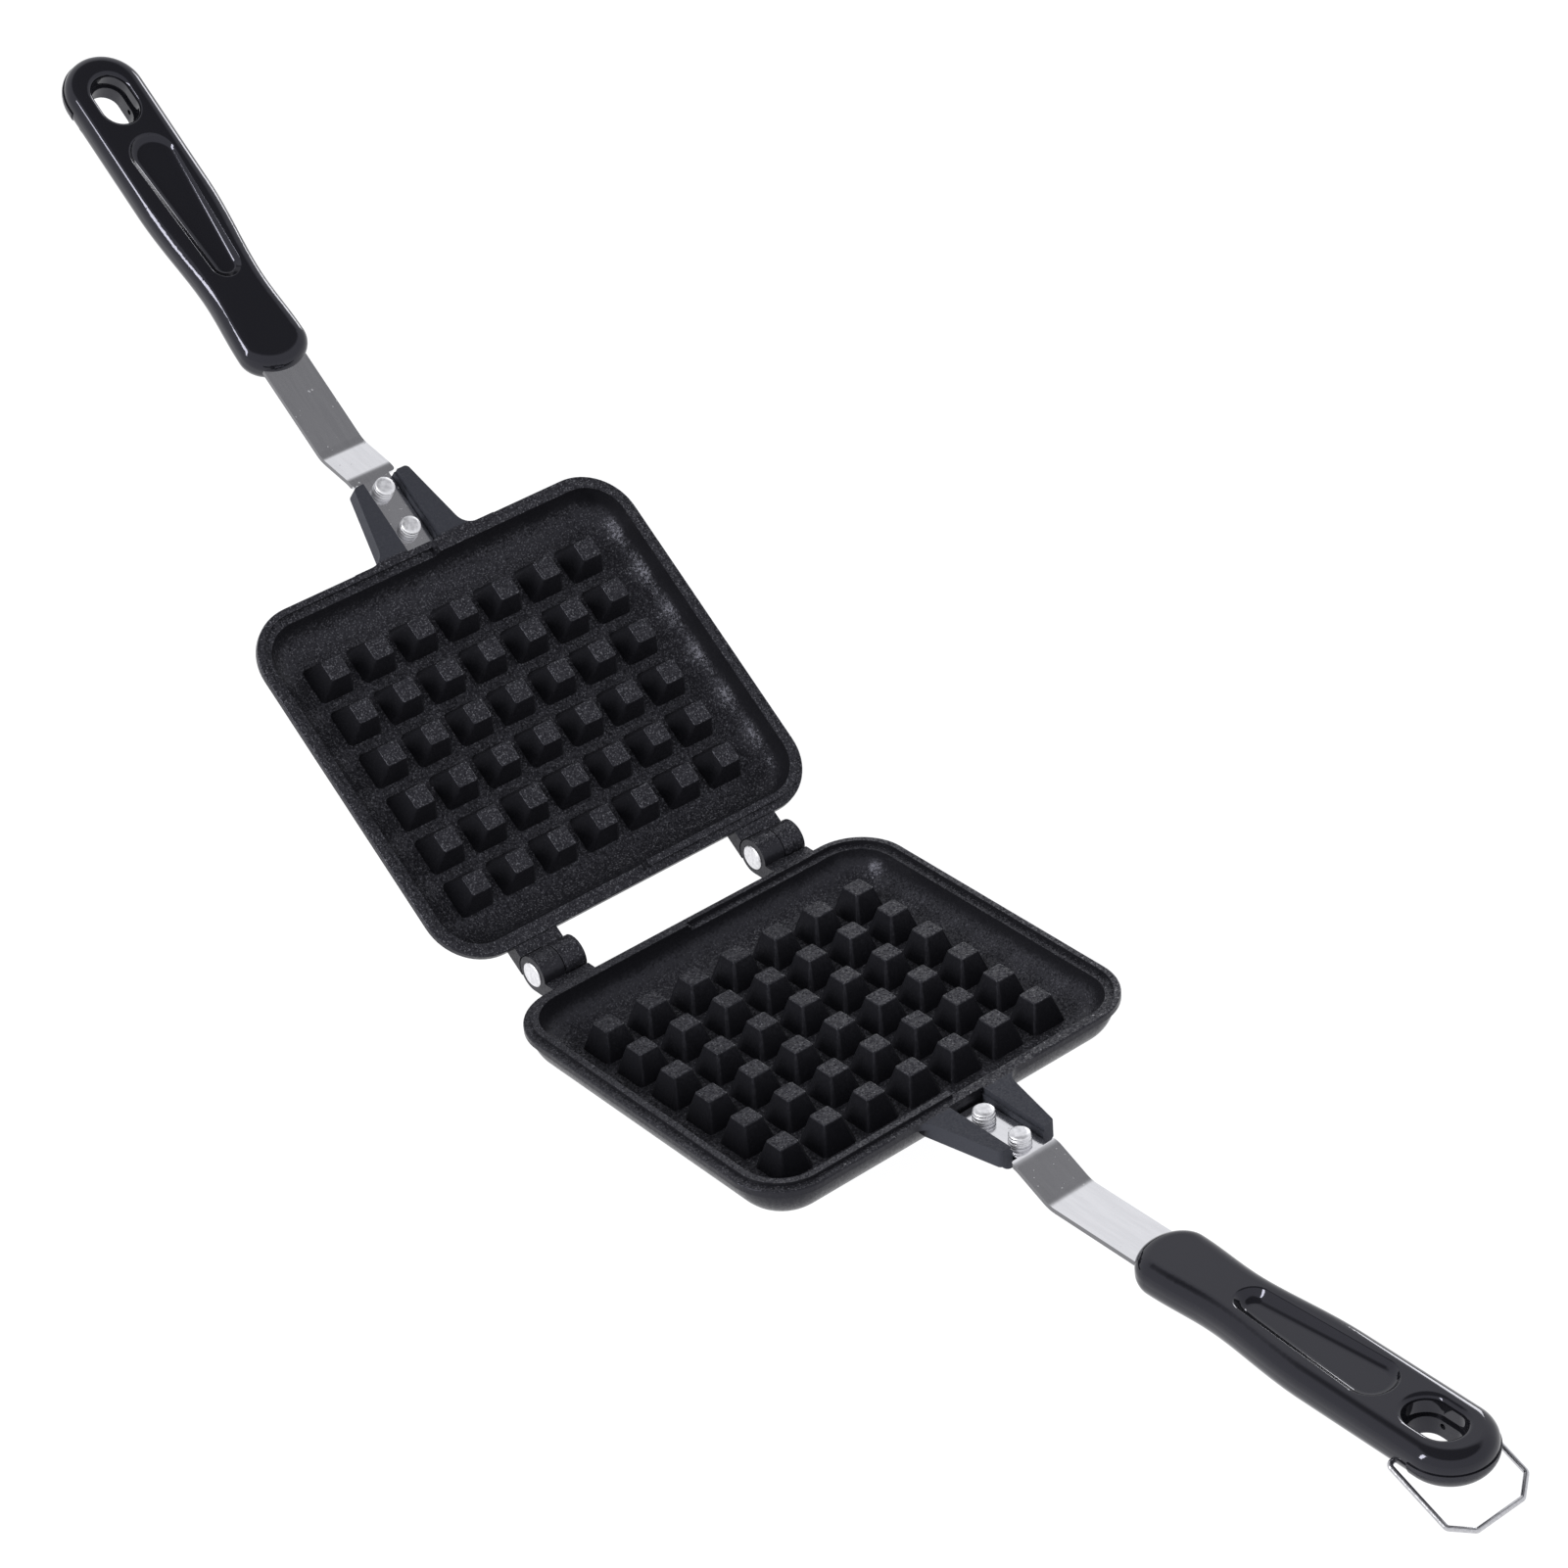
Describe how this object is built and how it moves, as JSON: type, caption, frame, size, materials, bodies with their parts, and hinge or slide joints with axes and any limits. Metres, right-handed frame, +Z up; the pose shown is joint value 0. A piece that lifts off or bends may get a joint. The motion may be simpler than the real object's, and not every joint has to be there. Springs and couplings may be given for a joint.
{
  "type": "stovetop waffle maker",
  "caption": "Hinged two-half stovetop waffle pan with pegged baking plates, strap handles with black grips and a wire bail that holds it shut.",
  "frame": {"origin": "centre of the bounding box, on the floor under the open pan", "axes": "+X along the hinge axis, +Y from the lower handle toward the upper one, +Z up; the lower half lies at -Y and the raised upper half at +Y"},
  "size_m": [0.1318, 0.5752, 0.1888],
  "materials": {
    "coated_casting": "cast aluminium with a fine-grained black non-stick coating",
    "steel_strap": "satin stainless steel, lengthwise grain",
    "black_grip": "glossy black moulded plastic",
    "matte_cap": "satin black moulded plastic",
    "rivet": "bright aluminium",
    "hinge_pin": "bright peened aluminium",
    "wire": "drawn stainless wire"
  },
  "bodies": {
    "lower_half": {"lower_plate": "coated_casting", "lower_strap": "steel_strap", "lower_inner_rivet": "rivet", "lower_outer_rivet": "rivet", "lower_end_cap": "matte_cap", "lower_handle": "black_grip", "hinge_pin_left": "hinge_pin", "hinge_pin_right": "hinge_pin"},
    "upper_half": {"upper_plate": "coated_casting", "upper_strap": "steel_strap", "upper_inner_rivet": "rivet", "upper_outer_rivet": "rivet", "upper_end_cap": "matte_cap", "upper_handle": "black_grip"},
    "bail": {"locking_bail": "wire"}
  },
  "joints": [
    {"name": "main_hinge", "type": "hinge", "parent": "lower_half", "child": "upper_half", "pos_m": [0, 0.02839, 0.01318], "axis": [1, 0, 0], "range_deg": [-38.06, 141.94]},
    {"name": "bail_pivot", "type": "hinge", "parent": "lower_half", "child": "bail", "pos_m": [0, -0.26323, 0.0096], "axis": [-1, 0, 0], "range_deg": [-144, 71]}
  ]
}
